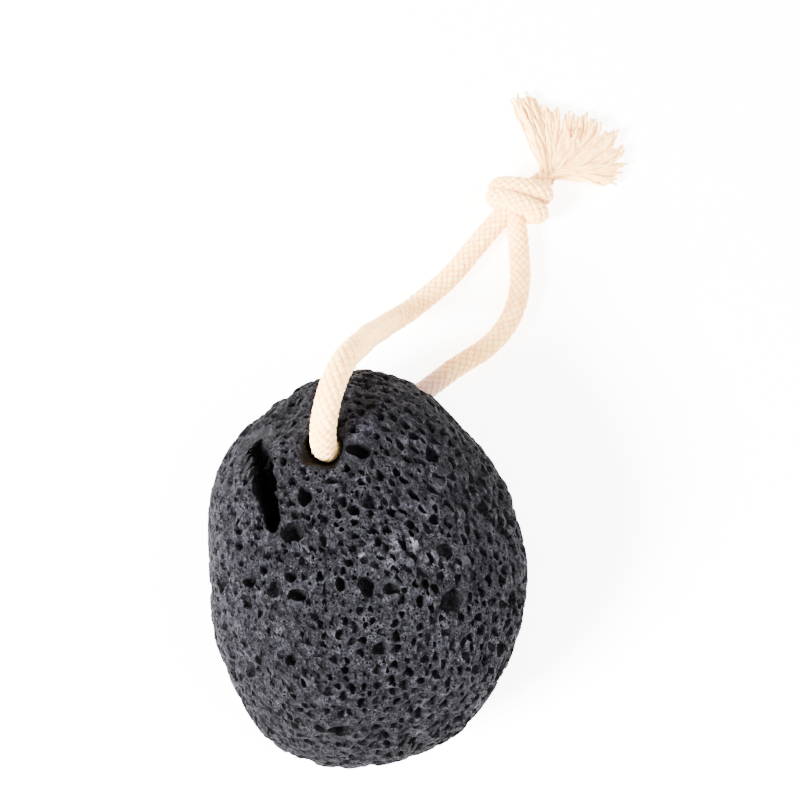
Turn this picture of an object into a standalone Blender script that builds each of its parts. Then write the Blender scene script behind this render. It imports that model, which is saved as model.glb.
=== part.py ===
"""Lava pumice foot stone on a loop of braided cotton cord.

The stone lies on its back on z = 0. Its long axis is Y, with the drilled end towards +Y. The cord
comes out of both mouths of the bore, and its two legs run to one knot beyond the drilled end,
where the tails fan out as a short tassel.

Lengths in the constants are in millimetres. Blender's units are metres.
"""
import math
import random

import bmesh
import bpy
import numpy as np
from mathutils import Vector
from mathutils.kdtree import KDTree

MM = 0.001

# ---- The stone: a tumbled pebble of lava -------------------------------------------------------
# Plan radius every 15 degrees, counter-clockwise from +X. The stone is 72 wide and 89 long.
OUTLINE = (
    36.2, 35.6, 36.5, 37.4, 39.0, 42.8, 44.8, 43.9, 42.2, 41.2, 39.3, 36.8,
    35.1, 35.6, 37.4, 39.8, 43.4, 44.6, 43.9, 42.8, 41.9, 39.6, 37.7, 36.6,
)
# The widest level, how far it tilts and waves, and the rise and drop from it.
MID_HEIGHT = 21.0
MIDDLE_TILT = 1.6
MIDDLE_WAVE = 0.8
TOP_RISE = 25.4
BASE_DROP = 22.6
CAP_POWER = 2.35
# Soft lumps: their height, then the lengths in which they repeat along x, y and z.
LUMP_HEIGHT = 0.55
LUMP_X = (6.3, 4.9)
LUMP_Y = (7.7, 5.1, 8.9)
LUMP_Z = (6.0, 5.5)
# Worn flats: azimuth and elevation of the face, its distance from the origin, how softly it ends.
RUBBED = (
    (128.0, 38.0, 49.73, 0.8), (20.0, 42.0, 45.71, 1.0), (182.0, 12.0, 39.47, 0.5),
    (222.0, 34.0, 48.84, 1.0), (300.0, 40.0, 48.22, 1.2), (75.0, 30.0, 50.79, 0.9),
    (82.0, -48.0, 14.52, 1.4), (165.0, -40.0, 18.11, 1.0), (255.0, -36.0, 26.49, 1.2),
    (340.0, -34.0, 21.23, 1.0),
)
GRID_CUTS = 10
STONE_COLOUR = (0.055, 0.054, 0.062)
STONE_ROUGHNESS = 0.95

# ---- The bore and the gash ----------------------------------------------------------------------
BORE_DIAMETER = 8.4
MOUTH_DIAMETER = 9.0
MOUTH_DEPTH = 5.0
BORE_OVERRUN = 8.0
BORE_SIDES = 20
FRONT_MOUTH = (-9.0, 23.9, 44.0)
REAR_MOUTH = (-1.5, 31.7, 9.9)

# The gash in plan, from its wide end to its foot. It goes in nearly straight down.
GASH_TOP = (-24.0, 26.6)
GASH_FOOT = (-18.8, 4.6)
GASH_WIDTH = 7.6
GASH_FOOT_SHARE = 0.36
GASH_DEPTH = 11.0
GASH_LEAN = 0.35
GASH_STOPS = 7

# ---- Pits ---------------------------------------------------------------------------------------
# The largest bubbles open on the upper face: x, y, width, height.
OPEN_BUBBLES = (
    (-1.1, 23.3, 6.0, 3.4), (-12.7, 13.2, 3.2, 4.7), (-15.1, 5.5, 5.3, 4.6),
    (-2.1, 10.2, 2.8, 2.7), (-5.4, 9.4, 1.8, 2.1), (-14.1, -7.7, 4.6, 2.5),
    (-15.4, -3.9, 2.9, 2.2), (-24.2, -4.8, 3.0, 2.5), (0.7, -6.1, 3.9, 4.3),
    (5.9, -6.5, 3.6, 2.6), (-4.9, -5.5, 2.5, 3.0), (19.0, -8.7, 5.9, 5.5),
    (13.1, -5.4, 2.1, 2.1), (12.0, -9.0, 2.1, 2.6), (3.6, -18.8, 3.8, 2.8),
    (22.7, -16.1, 1.9, 1.9), (24.6, -11.9, 2.1, 2.1), (12.2, -25.3, 2.1, 1.7),
    (7.0, 18.5, 2.0, 2.0), (10.6, 26.7, 2.6, 2.2), (-7.0, 16.6, 2.6, 2.0),
    (15.0, 8.4, 2.6, 2.5), (-4.7, -36.0, 5.9, 4.4), (-11.9, -38.6, 2.6, 1.9),
    (-15.5, -21.2, 2.6, 2.5), (-3.9, -23.3, 2.1, 1.6), (-29.0, 22.0, 2.2, 2.2),
)
BUBBLE_DEPTH = 1.0
BUBBLE_DEPTH_SHARE = 0.45
BUBBLE_SUNK_SHARE = 0.15
# The smaller pits scattered over the rest: how many, and each one's size, stretch and spacing.
SCATTERED_PITS = 84
PIT_RADII = (0.95, 1.9)
PIT_STRETCH = (1.0, 1.35)
PIT_SPACING = 0.6
PIT_DEPTH_SHARE = 1.1
PIT_SUNK_SHARE = 0.2
PIT_SEED = 41
PIT_TRIES = 4000
# Pits keep clear of the flat base and of the edges of the mouths and the gash.
BASE_POINT = (0.0, -3.0, 0.0)
BARE_BASE_RADIUS = 9.0
MOUTH_MARGIN = 0.7
GASH_MARGIN = 0.35

# ---- The cord: round braided cotton, one length -----------------------------------------------
CORD_DIAMETER = 5.4
CORD_COLOUR = (0.88, 0.80, 0.70)
CORD_ROUGHNESS = 0.9
ROUTE_SPACING = 6.0
SPLINE_STEPS = 40
ROUND_SIDES = 2

# Routes are centre lines. Each leg starts halfway down the bore.
FRONT_ROUTE = (
    (-5.2, 28.0, 27.1), (-6.3, 26.3, 31.8), (-8.0, 24.2, 38.0), (-8.8, 25.4, 44.9),
    (-8.1, 30.5, 49.9), (-6.4, 36.4, 50.9), (-4.6, 40.8, 49.2), (-2.8, 44.2, 45.4),
    (-1.2, 47.4, 37.8), (0.5, 51.3, 28.0), (3.0, 55.2, 18.0), (5.7, 58.7, 10.2),
    (9.5, 62.2, 5.2), (13.3, 65.7, 3.1), (17.4, 69.2, 2.8), (21.1, 73.0, 2.8),
    (24.6, 77.3, 2.8), (28.2, 81.6, 3.1),
)
BACK_ROUTE = (
    (-4.8, 27.8, 26.7), (-3.7, 29.1, 20.9), (-2.6, 30.4, 15.3), (-1.2, 32.2, 10.1),
    (1.4, 34.7, 5.8), (5.6, 38.1, 3.2), (10.6, 41.5, 2.8), (15.2, 44.8, 2.8),
    (19.4, 48.1, 2.8), (23.4, 50.7, 2.8), (27.4, 53.2, 2.8), (31.2, 56.8, 2.8),
    (34.0, 61.0, 2.8), (35.9, 66.0, 2.8), (36.6, 71.2, 2.8), (36.4, 76.4, 2.8),
    (36.0, 81.6, 3.0),
)

# ---- The knot and the frayed ends -------------------------------------------------------------
KNOT_CENTRE = (36.3, 90.0, 5.9)
KNOT_TURN = -18.0
KNOT_LEG_ENDS = ((28.6, 82.1, 3.2), (36.0, 82.2, 3.1))
KNOT_TAIL_END = (42.6, 95.2, 4.8)
WRAP_HALF_LENGTH = 6.0
WRAP_HALF_HEIGHT = 3.2
WRAP_SPACING = 4.6
WRAP_POINTS = 16
KNOT_VOXEL = 0.75
KNOT_KEEP = 0.22

FRAY_ROOT = (42.9, 95.6, 4.8)
FRAY_SPRING = (1.2, 1.8, 0.0)
# The tip of each tuft, in order round the fan.
FRAY_TIPS = (
    (36.4, 116.6, 2.2), (39.6, 117.0, 1.8), (42.4, 113.8, 2.4), (45.4, 113.6, 2.0),
    (49.0, 111.8, 2.2), (52.6, 112.0, 2.0), (56.0, 110.4, 2.2), (59.6, 107.4, 2.4),
    (61.6, 103.4, 2.2), (62.0, 99.2, 2.0), (59.4, 95.8, 2.2), (50.0, 107.0, 4.2),
)
TUFT_ARCH = 1.0
TUFT_RADII = (2.3, 2.1, 1.7, 1.4)
FRAY_VOXEL = 0.8
FRAY_KEEP = 0.18


def unit(vectors):
    """Each row of an array made one unit long."""
    return vectors / np.linalg.norm(vectors, axis=1)[:, None]


def outline_radius(angle):
    """Plan radius at an angle in radians: a smooth closed curve through the outline's radii."""
    radii = np.array(OUTLINE)
    step = np.mod(angle, 2.0 * np.pi) / (2.0 * np.pi) * len(radii)
    first = np.floor(step).astype(int)
    part = step - first
    before, start, end, after = (radii[(first + k) % len(radii)] for k in (-1, 0, 1, 2))
    slope = 0.5 * (end - before)
    slope_end = 0.5 * (after - start)
    return (start * (1 + 2 * part) * (1 - part) ** 2 + slope * part * (1 - part) ** 2
            + end * (3 - 2 * part) * part ** 2 + slope_end * (part - 1) * part ** 2)


def rub(points, azimuth, elevation, distance, softness):
    """Wear a soft flat: what lies past a plane at that distance is pressed back to it."""
    around, up = math.radians(azimuth), math.radians(elevation)
    face = np.array([math.cos(around) * math.cos(up), math.sin(around) * math.cos(up), math.sin(up)])
    pressed = softness * np.logaddexp(0.0, (points @ face - distance) / softness)
    return points - np.outer(pressed, face)


def lumps(points):
    """Soft lumps at each point, as a few sines of its place."""
    x, y, z = points.T
    return (np.sin(x / LUMP_X[0] + 0.8) * np.sin(y / LUMP_Y[0] + 2.1)
            + np.sin(y / LUMP_Y[1] + z / LUMP_Z[0] + 1.2)
            + np.sin(x / LUMP_X[1] - z / LUMP_Z[1] + 0.4) * np.cos(y / LUMP_Y[2]))


def stone_form(directions):
    """The smooth form: a superellipse cap over the outline, with lumps, worn flats and a flat base."""
    x, y, z = directions.T
    angle = np.arctan2(y, x)
    level = np.hypot(x, y)
    plan = outline_radius(angle) * level ** (2.0 / CAP_POWER)
    cap = np.abs(z) ** (2.0 / CAP_POWER)
    tilt = MIDDLE_TILT * np.sin(angle - 0.9) + MIDDLE_WAVE * np.sin(2.0 * angle + 1.0)
    height = MID_HEIGHT + tilt * level + cap * np.where(z > 0, TOP_RISE, -BASE_DROP)
    points = np.column_stack([plan * np.cos(angle), plan * np.sin(angle), height])
    points = points + directions * (LUMP_HEIGHT * lumps(points) * cap)[:, None]
    for face in RUBBED:
        points = rub(points, *face)
    points[:, 2] = np.maximum(points[:, 2], 0.0)
    return points


def surface_at(directions):
    """The place on the form in each direction, with its two slopes and their tangent directions.

    A slope is how far the place moves for a small step of the direction, divided by that step.
    """
    helper = np.where(np.abs(directions[:, 2:]) < 0.8, [[0.0, 0.0, 1.0]], [[1.0, 0.0, 0.0]])
    first = unit(np.cross(helper, directions))
    second = np.cross(directions, first)
    place = stone_form(directions)
    step = 0.002
    slope_first = (stone_form(unit(directions + step * first)) - place) / step
    slope_second = (stone_form(unit(directions + step * second)) - place) / step
    return place, slope_first, slope_second, first, second


def where_lines_meet(starts, axis, rounds=12):
    """Directions in which lines through the starts along an axis meet the form.

    Each round takes one Newton step: it solves place + slopes x tangents = start + axis x travel.
    """
    directions = unit((starts - [0.0, 0.0, MID_HEIGHT]) / [36.0, 42.0, 24.0])
    for _ in range(rounds):
        place, slope_first, slope_second, first, second = surface_at(directions)
        system = np.stack([slope_first, slope_second, -np.broadcast_to(axis, starts.shape)], axis=2)
        steps = np.linalg.solve(system, (starts - place)[:, :, None])[:, :2, 0]
        steps = np.clip(steps, -0.15, 0.15)
        directions = unit(directions + steps[:, :1] * first + steps[:, 1:] * second)
    return directions


def from_above(plan):
    """Directions in which places in plan lie on the upper face."""
    starts = np.column_stack([plan, np.full(len(plan), MID_HEIGHT + TOP_RISE)])
    return where_lines_meet(starts, np.array([0.0, 0.0, 1.0]))


def axes_at(directions):
    """Place, level axis, the axis beside it and the outward normal of the form in each direction."""
    place, slope_first, slope_second, _, _ = surface_at(directions)
    normal = unit(np.cross(slope_first, slope_second))
    level = unit(slope_first)
    return place, level, np.cross(normal, level), normal


def too_near(places, radii, gap, taken_places, taken_radii):
    """Which of the places lie nearer to a taken place than both radii and the gap."""
    near = np.zeros(len(places), dtype=bool)
    for centre, reach in zip(taken_places, taken_radii):
        near |= np.linalg.norm(places - centre, axis=1) < reach + radii + gap
    return near


def spaced_apart(places, radii, gap, blocked):
    """Which places stay, first come first kept, so that none are nearer than their radii and gap."""
    tree = KDTree(len(places))
    for index, place in enumerate(places):
        tree.insert(place, index)
    tree.balance()
    widest = radii.max()
    blocked = blocked.copy()
    kept = []
    for index in range(len(places)):
        if blocked[index]:
            continue
        kept.append(index)
        for _, other, distance in tree.find_range(places[index], radii[index] + widest + gap):
            if distance < radii[index] + radii[other] + gap:
                blocked[other] = True
    return np.array(kept)


def taken_places(bubble_ways):
    """Places and radii that pits keep clear of: base, mouths, gash and the named bubbles."""
    bubbles = np.array(OPEN_BUBBLES)
    axis = unit(np.array([REAR_MOUTH]) - np.array([FRONT_MOUTH]))[0]
    mouths = stone_form(where_lines_meet(np.array([FRONT_MOUTH, REAR_MOUTH]), axis))
    gash = stone_form(from_above(np.linspace(GASH_TOP, GASH_FOOT, GASH_STOPS)))
    gash_widths = GASH_WIDTH * np.linspace(1.0, GASH_FOOT_SHARE, GASH_STOPS)
    places = np.vstack([[BASE_POINT], mouths, gash, stone_form(bubble_ways)])
    radii = np.concatenate([
        [BARE_BASE_RADIUS], np.full(2, 0.5 * MOUTH_DIAMETER + MOUTH_MARGIN),
        0.5 * gash_widths + GASH_MARGIN, 0.5 * bubbles[:, 2:].max(1),
    ])
    return places, radii


def scattered_pits(bubble_ways):
    """Directions, radii, stretches and turns of the scattered pits, in the order drawn."""
    chance = random.Random(PIT_SEED)
    draws = [(chance.gauss(0, 1), chance.gauss(0, 1), chance.gauss(0, 1), chance.uniform(*PIT_RADII),
              chance.uniform(*PIT_STRETCH), chance.uniform(0.0, math.pi)) for _ in range(PIT_TRIES)]
    draws = np.array(draws)
    directions = unit(draws[:, :3])
    places = stone_form(directions)
    reach = draws[:, 3] * draws[:, 4]
    blocked = too_near(places, reach, PIT_SPACING, *taken_places(bubble_ways))
    kept = spaced_apart(places, reach, PIT_SPACING, blocked)[:SCATTERED_PITS]
    return directions[kept], draws[kept, 3], draws[kept, 4], draws[kept, 5]


def stone_frame():
    """The stone's smooth closed mesh: a gridded cube blown up to the form."""
    body = bmesh.new()
    bmesh.ops.create_cube(body, size=2.0)
    bmesh.ops.subdivide_edges(body, edges=body.edges[:], cuts=GRID_CUTS, use_grid_fill=True)
    corners = np.tan(np.array([vertex.co for vertex in body.verts]) * math.pi / 4.0)
    for vertex, place in zip(body.verts, stone_form(unit(corners))):
        vertex.co = place
    bmesh.ops.recalc_face_normals(body, faces=body.faces[:])
    return body


def add_bubble(cutters, centre, axes, halves, detail):
    """Add a closed egg-shaped cutter with half-sizes halves along the three axes."""
    made = bmesh.ops.create_icosphere(cutters, subdivisions=detail, radius=1.0)
    shape = np.array([vertex.co for vertex in made["verts"]])
    for vertex, place in zip(made["verts"], centre + (shape * halves) @ np.array(axes)):
        vertex.co = place


def pit_cutters():
    """Every pit as one cutter: the named bubbles on the upper face, then scattered small ones."""
    cutters = bmesh.new()
    bubbles = np.array(OPEN_BUBBLES)
    bubble_ways = from_above(bubbles[:, :2])
    places, _, _, normals = axes_at(bubble_ways)
    sides = unit(np.cross([0.0, 1.0, 0.0], normals))
    for place, side, normal, (_, _, width, height) in zip(places, sides, normals, bubbles):
        depth = BUBBLE_DEPTH + BUBBLE_DEPTH_SHARE * 0.5 * (width + height)
        add_bubble(cutters, place - normal * BUBBLE_SUNK_SHARE * depth,
                   (side, np.cross(normal, side), normal), (0.5 * width, 0.5 * height, depth), 2)
    ways, radii, stretches, turns = scattered_pits(bubble_ways)
    places, levels, besides, normals = axes_at(ways)
    longs = np.cos(turns)[:, None] * levels + np.sin(turns)[:, None] * besides
    for place, long, normal, radius, stretch in zip(places, longs, normals, radii, stretches):
        add_bubble(cutters, place - normal * PIT_SUNK_SHARE * radius,
                   (long, np.cross(normal, long), normal),
                   (radius * stretch, radius, radius * PIT_DEPTH_SHARE), 1)
    return cutters


def bore_cutter():
    """The bore as a turned profile along its axis: a straight drill hole with worn, wider mouths."""
    front, rear = Vector(FRONT_MOUTH), Vector(REAR_MOUTH)
    length = (rear - front).length
    along = (rear - front).normalized()
    side = along.cross(Vector((0.0, 1.0, 0.0))).normalized()
    out = side.cross(along)
    flare = (MOUTH_DIAMETER - BORE_DIAMETER) / MOUTH_DEPTH
    wide = MOUTH_DIAMETER + flare * BORE_OVERRUN
    stations = (
        (-BORE_OVERRUN, wide), (MOUTH_DEPTH, BORE_DIAMETER),
        (length - MOUTH_DEPTH, BORE_DIAMETER), (length + BORE_OVERRUN, wide),
    )
    cutter = bmesh.new()
    rings = []
    for distance, diameter in stations:
        ring = []
        for step in range(BORE_SIDES):
            angle = 2.0 * math.pi * step / BORE_SIDES
            spoke = side * math.cos(angle) + out * math.sin(angle)
            ring.append(cutter.verts.new(front + along * distance + spoke * 0.5 * diameter))
        rings.append(ring)
    for ring, following in zip(rings, rings[1:]):
        for step in range(BORE_SIDES):
            nearby = (step + 1) % BORE_SIDES
            cutter.faces.new((ring[step], ring[nearby], following[nearby], following[step]))
    cutter.faces.new(rings[0])
    cutter.faces.new(rings[-1])
    bmesh.ops.recalc_face_normals(cutter, faces=cutter.faces[:])
    return cutter


def gash_cutter():
    """The gash: a deep narrow hollow, widest at its upper end, that goes in nearly straight down."""
    ends, _, _, _ = axes_at(from_above(np.array([GASH_TOP, GASH_FOOT])))
    _, _, _, normal = axes_at(from_above(0.5 * np.array([GASH_TOP]) + 0.5 * np.array([GASH_FOOT])))
    out = unit(GASH_LEAN * normal + [[0.0, 0.0, 1.0]])[0]
    beside = np.array([GASH_FOOT[1] - GASH_TOP[1], GASH_TOP[0] - GASH_FOOT[0], 0.0])
    beside = beside / np.linalg.norm(beside)
    cutter = bmesh.new()
    made = bmesh.ops.create_icosphere(cutter, subdivisions=2, radius=1.0)
    for vertex in made["verts"]:
        across, run, rise = vertex.co
        narrowing = 1.0 - (1.0 - GASH_FOOT_SHARE) * 0.5 * (1.0 + run)
        spine = 0.5 * (1.0 - run) * ends[0] + 0.5 * (1.0 + run) * ends[1]
        vertex.co = spine + beside * 0.5 * GASH_WIDTH * narrowing * across + out * GASH_DEPTH * rise
    bmesh.ops.recalc_face_normals(cutter, faces=cutter.faces[:])
    return cutter


def smooth_route(points, spacing):
    """A natural cubic spline through the points, read at even steps of about the spacing."""
    knots = np.array(points, dtype=float)
    gaps = np.linalg.norm(np.diff(knots, axis=0), axis=1)
    count = len(knots)
    system = np.eye(count)
    pull = np.zeros((count, 3))
    for row in range(1, count - 1):
        system[row, row - 1:row + 2] = gaps[row - 1], 2.0 * (gaps[row - 1] + gaps[row]), gaps[row]
        pull[row] = 6.0 * ((knots[row + 1] - knots[row]) / gaps[row]
                           - (knots[row] - knots[row - 1]) / gaps[row - 1])
    bend = np.linalg.solve(system, pull)
    runs = []
    for row in range(count - 1):
        ahead = np.linspace(0.0, 1.0, SPLINE_STEPS, endpoint=False)[:, None]
        behind = 1.0 - ahead
        runs.append(behind * knots[row] + ahead * knots[row + 1] + gaps[row] ** 2 / 6.0
                    * ((behind ** 3 - behind) * bend[row] + (ahead ** 3 - ahead) * bend[row + 1]))
    fine = np.vstack(runs + [knots[-1:]])
    travelled = np.concatenate([[0.0], np.cumsum(np.linalg.norm(np.diff(fine, axis=0), axis=1))])
    stops = np.linspace(0.0, travelled[-1], round(travelled[-1] / spacing) + 1)
    return np.column_stack([np.interp(stops, travelled, fine[:, axis]) for axis in range(3)])


def tubes(name, routes, radii, sides):
    """A curve object of round tubes with closed ends, one for each route, in metres."""
    curve = bpy.data.curves.new(name, "CURVE")
    curve.dimensions = "3D"
    curve.bevel_depth = MM
    curve.bevel_resolution = sides
    curve.use_fill_caps = True
    for route, route_radii in zip(routes, radii):
        spline = curve.splines.new("POLY")
        spline.points.add(len(route) - 1)
        for point, place, radius in zip(spline.points, route, route_radii):
            point.co = (*(MM * np.array(place)), 1.0)
            point.radius = radius
    body = bpy.data.objects.new(name, curve)
    bpy.context.scene.collection.objects.link(body)
    return body


def mesh_object(name, body):
    """Put a bmesh drawn in millimetres into a new object in metres."""
    mesh = bpy.data.meshes.new(name)
    bmesh.ops.scale(body, vec=(MM, MM, MM), verts=body.verts[:])
    body.to_mesh(mesh)
    body.free()
    thing = bpy.data.objects.new(name, mesh)
    bpy.context.scene.collection.objects.link(thing)
    return thing


def cut(thing, cutter_name, cutter_body):
    """Cut a body out of an object with a Boolean that stays live."""
    cutter = mesh_object(cutter_name, cutter_body)
    cutter.hide_render = True
    cutter.display_type = "WIRE"
    boolean = thing.modifiers.new(cutter_name, "BOOLEAN")
    boolean.operation = "DIFFERENCE"
    boolean.object = cutter


def fuse(name, curve_body, voxel, keep):
    """Join overlapping tubes into one closed body and thin its faces."""
    bpy.context.view_layer.update()
    seen = curve_body.evaluated_get(bpy.context.evaluated_depsgraph_get())
    mesh = bpy.data.meshes.new_from_object(seen)
    bpy.data.objects.remove(curve_body)
    thing = bpy.data.objects.new(name, mesh)
    bpy.context.scene.collection.objects.link(thing)
    remesh = thing.modifiers.new("fuse", "REMESH")
    remesh.mode = "VOXEL"
    remesh.voxel_size = voxel * MM
    remesh.use_smooth_shade = True
    decimate = thing.modifiers.new("thin", "DECIMATE")
    decimate.ratio = keep
    return thing


def finish(thing, colour, roughness):
    """Give an object its own material."""
    material = bpy.data.materials.new(thing.name)
    material.use_nodes = True
    shader = material.node_tree.nodes["Principled BSDF"]
    shader.inputs["Base Color"].default_value = (*colour, 1.0)
    shader.inputs["Roughness"].default_value = roughness
    shader.inputs["Metallic"].default_value = 0.0
    thing.data.materials.clear()
    thing.data.materials.append(material)
    return thing


def make_stone():
    """The stone: the smooth form with the bore, the gash and every pit cut out of it."""
    stone = mesh_object("pumice_stone", stone_frame())
    cut(stone, "bore_cutter", bore_cutter())
    cut(stone, "gash_cutter", gash_cutter())
    cut(stone, "pit_cutters", pit_cutters())
    return finish(stone, STONE_COLOUR, STONE_ROUGHNESS)


def make_leg(name, route):
    """One leg of the cord, a plain round tube."""
    points = smooth_route(route, ROUTE_SPACING)
    radii = [0.5 * CORD_DIAMETER] * len(points)
    leg = tubes(name, [points], [radii], ROUND_SIDES)
    return finish(leg, CORD_COLOUR, CORD_ROUGHNESS)


def wrap_route(shift):
    """One turn of the knot: a flattened ring round the bundle, closed on itself."""
    turn = math.radians(KNOT_TURN)
    along = np.array([math.cos(turn), math.sin(turn), 0.0])
    beside = np.array([-math.sin(turn), math.cos(turn), 0.0])
    route = []
    for step in range(WRAP_POINTS + 1):
        angle = 2.0 * math.pi * step / WRAP_POINTS
        route.append(np.array(KNOT_CENTRE) + beside * shift
                     + along * WRAP_HALF_LENGTH * math.cos(angle)
                     + np.array([0.0, 0.0, WRAP_HALF_HEIGHT * math.sin(angle)]))
    return route


def make_knot():
    """The knot: two turns lying side by side over the bundle of legs and tails."""
    half = 0.5 * CORD_DIAMETER
    routes = [wrap_route(-0.5 * WRAP_SPACING), wrap_route(0.5 * WRAP_SPACING)]
    routes += [[leg_end, KNOT_CENTRE] for leg_end in KNOT_LEG_ENDS]
    routes.append([KNOT_CENTRE, KNOT_TAIL_END])
    radii = [[half] * len(route) for route in routes]
    turns = tubes("cord_knot_turns", routes, radii, ROUND_SIDES)
    knot = fuse("cord_knot", turns, KNOT_VOXEL, KNOT_KEEP)
    return finish(knot, CORD_COLOUR, CORD_ROUGHNESS)


def make_frayed_ends():
    """The two tails unravelled: tufts that spring from one root and fan out over the surface."""
    routes = []
    for tip in FRAY_TIPS:
        root, end = np.array(FRAY_ROOT), np.array(tip)
        spring = root + np.array(FRAY_SPRING)
        middle = 0.5 * (spring + end) + np.array([0.0, 0.0, TUFT_ARCH])
        routes.append([root, spring, middle, end])
    radii = [TUFT_RADII] * len(routes)
    tufts = tubes("cord_tufts", routes, radii, ROUND_SIDES)
    ends = fuse("cord_frayed_ends", tufts, FRAY_VOXEL, FRAY_KEEP)
    return finish(ends, CORD_COLOUR, CORD_ROUGHNESS)


def build():
    """Clear the scene, then make every piece in the order of assembly."""
    for leftover in list(bpy.data.objects):
        bpy.data.objects.remove(leftover)
    make_stone()
    make_leg("cord_front_leg", FRONT_ROUTE)
    make_leg("cord_back_leg", BACK_ROUTE)
    make_knot()
    make_frayed_ends()


build()
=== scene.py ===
"""How the lava pumice foot stone and its braided cotton cord look.

The stone lies on z = 0 with its drilled end towards +Y. Surfaces are worked out in millimetres as
arrays and put into metres when a piece is made.
"""
import math
import random

import bpy
import numpy as np
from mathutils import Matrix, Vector
from mathutils.geometry import delaunay_2d_cdt
from mathutils.kdtree import KDTree


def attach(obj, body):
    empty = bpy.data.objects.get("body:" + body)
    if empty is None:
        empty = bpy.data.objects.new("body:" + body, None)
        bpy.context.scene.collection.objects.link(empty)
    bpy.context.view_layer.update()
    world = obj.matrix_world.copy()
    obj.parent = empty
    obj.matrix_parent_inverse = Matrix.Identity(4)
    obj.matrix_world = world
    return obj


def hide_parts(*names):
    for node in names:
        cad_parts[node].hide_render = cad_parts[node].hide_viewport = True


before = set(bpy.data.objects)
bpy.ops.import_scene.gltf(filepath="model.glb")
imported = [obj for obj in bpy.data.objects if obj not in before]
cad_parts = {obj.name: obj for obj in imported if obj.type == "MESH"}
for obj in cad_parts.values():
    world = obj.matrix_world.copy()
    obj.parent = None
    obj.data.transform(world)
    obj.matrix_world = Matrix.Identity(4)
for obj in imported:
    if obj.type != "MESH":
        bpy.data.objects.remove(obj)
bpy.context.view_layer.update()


# ==== The stone ====================================================================================
# A pebble of dark basaltic lava, frothy with gas bubbles that its tumbled skin has cut open. One
# piece, drilled through its narrow end for the cord. A long gash lies beside the drilled mouth.

MM = 0.001
UP = np.array([0.0, 0.0, 1.0])
FULL_TURN = 2.0 * np.pi

# Plan radius every 15 degrees, counter-clockwise from +X, and heights about the widest level.
OUTLINE = (
    36.2, 35.6, 36.5, 37.4, 39.0, 42.8, 44.8, 43.9, 42.2, 41.2, 39.3, 36.8,
    35.1, 35.6, 37.4, 39.8, 43.4, 44.6, 43.9, 42.8, 41.9, 39.6, 37.7, 36.6,
)
MID_HEIGHT = 21.0
TOP_RISE = 25.4
BASE_DROP = 22.6
CAP_POWER = 2.35
MIDDLE_TILT = 1.6
MIDDLE_WAVE = 0.8
LUMP_HEIGHT = 0.55
HALF_SIZES = np.array([36.0, 42.0, 24.0])

# Worn flats: azimuth and elevation of the face, its distance from the origin, how softly it ends.
RUBBED = (
    (128.0, 38.0, 49.73, 0.8), (20.0, 42.0, 45.71, 1.0), (182.0, 12.0, 39.47, 0.5),
    (222.0, 34.0, 48.84, 1.0), (300.0, 40.0, 48.22, 1.2), (75.0, 30.0, 50.79, 0.9),
    (82.0, -48.0, 14.52, 1.4), (165.0, -40.0, 18.11, 1.0), (255.0, -36.0, 26.49, 1.2),
    (340.0, -34.0, 21.23, 1.0),
)

BORE_DIAMETER = 8.4
MOUTH_DIAMETER = 9.0
MOUTH_DEPTH = 5.0
FRONT_MOUTH = np.array([-9.0, 23.9, 44.0])
REAR_MOUTH = np.array([-1.5, 31.7, 9.9])
BORE_SIDES = 28
BORE_RINGS = 26
BORE_LENGTH = np.linalg.norm(REAR_MOUTH - FRONT_MOUTH)
BORE_AXIS = (REAR_MOUTH - FRONT_MOUTH) / BORE_LENGTH
MOUTH_SINK = 0.5

GASH_TOP = np.array([-23.8, 27.2])
GASH_FOOT = np.array([-19.0, 5.4])
GASH_WIDTH = 5.6
GASH_FOOT_SHARE = 0.86
GASH_DEPTH = 11.0
GASH_SIDES = 60
GASH_RAGGED = (0.36, 0.16)
# Its outlines: size in the net, size in the hollow, share of the depth.
GASH_RINGS = (
    (1.0, 1.0, 0.0), (0.88, 1.02, 0.14), (0.74, 1.0, 0.38),
    (0.56, 0.92, 0.66), (0.36, 0.75, 0.88), (0.14, 0.35, 1.0),
)
# The line that pits keep clear of, and how far at its two ends.
GASH_LINE = ((-24.0, 26.6), (-18.8, 4.6))
GASH_CLEAR = (4.15, 1.718)

# The largest bubbles open on the upper face: x, y, width, height.
OPEN_BUBBLES = (
    (-1.1, 23.3, 6.0, 3.4), (-12.7, 13.2, 3.2, 4.7), (-15.1, 5.5, 5.3, 4.6),
    (-2.1, 10.2, 2.8, 2.7), (-5.4, 9.4, 1.8, 2.1), (-14.1, -7.7, 4.6, 2.5),
    (-15.4, -3.9, 2.9, 2.2), (-24.2, -4.8, 3.0, 2.5), (0.7, -6.1, 3.9, 4.3),
    (5.9, -6.5, 3.6, 2.6), (-4.9, -5.5, 2.5, 3.0), (19.0, -8.7, 5.9, 5.5),
    (13.1, -5.4, 2.1, 2.1), (12.0, -9.0, 2.1, 2.6), (3.6, -18.8, 3.8, 2.8),
    (22.7, -16.1, 1.9, 1.9), (24.6, -11.9, 2.1, 2.1), (12.2, -25.3, 2.1, 1.7),
    (7.0, 18.5, 2.0, 2.0), (10.6, 26.7, 2.6, 2.2), (-7.0, 16.6, 2.6, 2.0),
    (15.0, 8.4, 2.6, 2.5), (-4.7, -36.0, 5.9, 3.4), (-11.9, -38.6, 2.6, 1.9),
    (-15.5, -21.2, 2.6, 2.5), (-3.9, -23.3, 2.1, 1.6), (-29.0, 22.0, 2.2, 2.2),
)
SCATTERED_PITS = 84
PIT_RADII = (0.95, 1.9)
PIT_STRETCH = (1.0, 1.35)
PIT_SPACING = 0.6
PIT_SEED = 41
PIT_TRIES = 4000
BARE_BASE_RADIUS = 9.0
BASE_POINT = np.array([0.0, -3.0, 0.0])

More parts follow.
